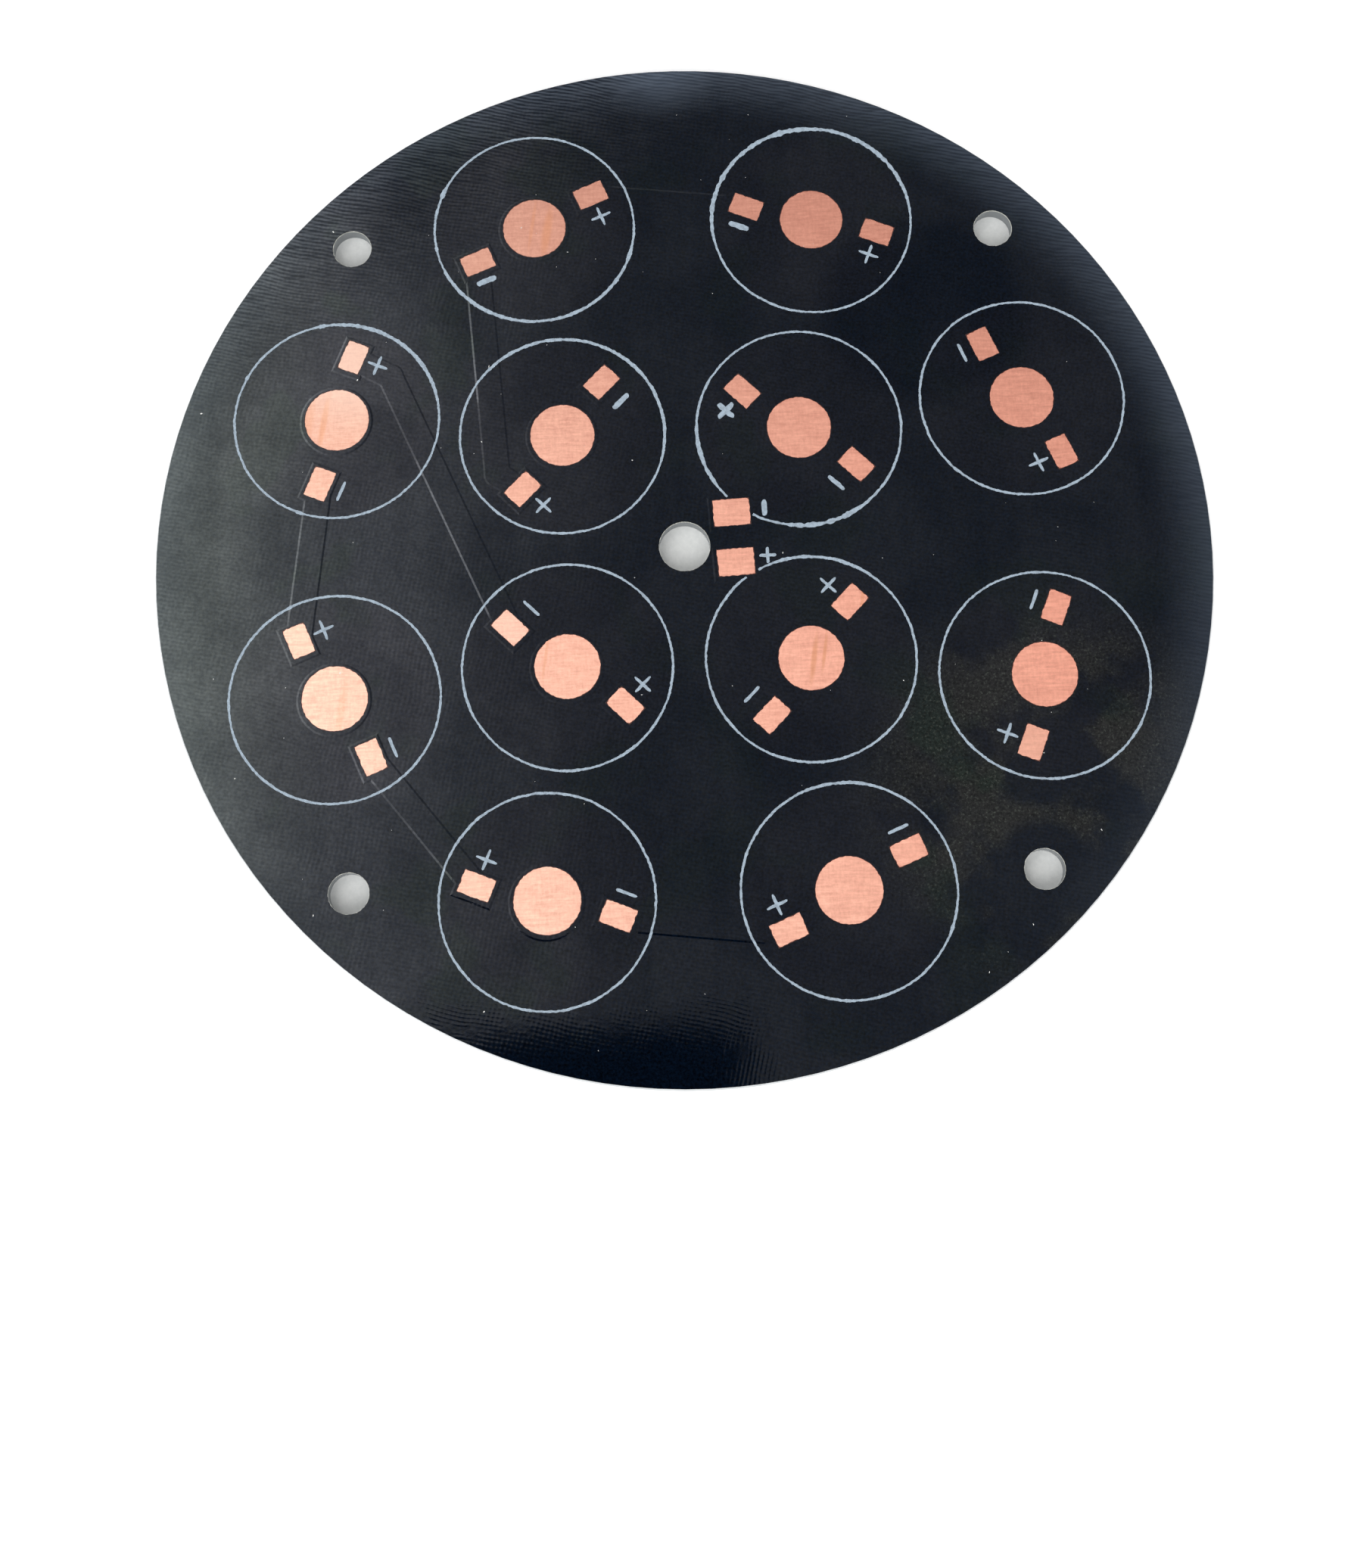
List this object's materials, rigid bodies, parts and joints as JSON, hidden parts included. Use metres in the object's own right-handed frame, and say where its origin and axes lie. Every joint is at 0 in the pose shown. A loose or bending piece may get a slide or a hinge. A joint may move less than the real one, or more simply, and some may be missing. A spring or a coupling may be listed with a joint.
{
  "type": "round led board",
  "caption": "Bare round circuit board on an aluminium core: black mask, copper LED pads in an outer and an inner ring, printed rings, rim screw holes and a central wire hole.",
  "frame": {"origin": "centre of the flat back face of the aluminium core", "axes": "+Z out of the component side, +X from the wire hole to the feed pads, +Y from the plus feed pad to the minus one"},
  "size_m": [0.112, 0.112, 0.0017],
  "materials": {
    "aluminium_core": "satin mill finish",
    "dielectric": "matte resin",
    "copper_foil": "satin, scrubbed",
    "solder_mask": "gloss black",
    "legend_ink": "matte print"
  },
  "bodies": {
    "root": {"base_plate": "aluminium_core", "dielectric_layer": "dielectric", "solder_mask": "solder_mask", "copper_track_1": "copper_foil", "copper_track_2": "copper_foil", "copper_track_3": "copper_foil", "copper_track_4": "copper_foil", "copper_track_5": "copper_foil", "copper_track_6": "copper_foil", "copper_track_7": "copper_foil", "copper_track_8": "copper_foil", "copper_track_9": "copper_foil", "copper_track_10": "copper_foil", "copper_track_11": "copper_foil", "copper_track_12": "copper_foil", "copper_track_13": "copper_foil", "copper_slug_pad_1": "copper_foil", "copper_slug_pad_2": "copper_foil", "copper_slug_pad_3": "copper_foil", "copper_slug_pad_4": "copper_foil", "copper_slug_pad_5": "copper_foil", "copper_slug_pad_6": "copper_foil", "copper_slug_pad_7": "copper_foil", "copper_slug_pad_8": "copper_foil", "copper_slug_pad_9": "copper_foil", "copper_slug_pad_10": "copper_foil", "copper_slug_pad_11": "copper_foil", "copper_slug_pad_12": "copper_foil", "printed_ring_1": "legend_ink", "printed_ring_2": "legend_ink", "printed_ring_3": "legend_ink", "printed_ring_4": "legend_ink", "printed_ring_5": "legend_ink", "printed_ring_6": "legend_ink", "printed_ring_7": "legend_ink", "printed_ring_8": "legend_ink", "printed_ring_9": "legend_ink", "printed_ring_10": "legend_ink", "printed_ring_11": "legend_ink", "printed_ring_12": "legend_ink"}
  },
  "joints": []
}
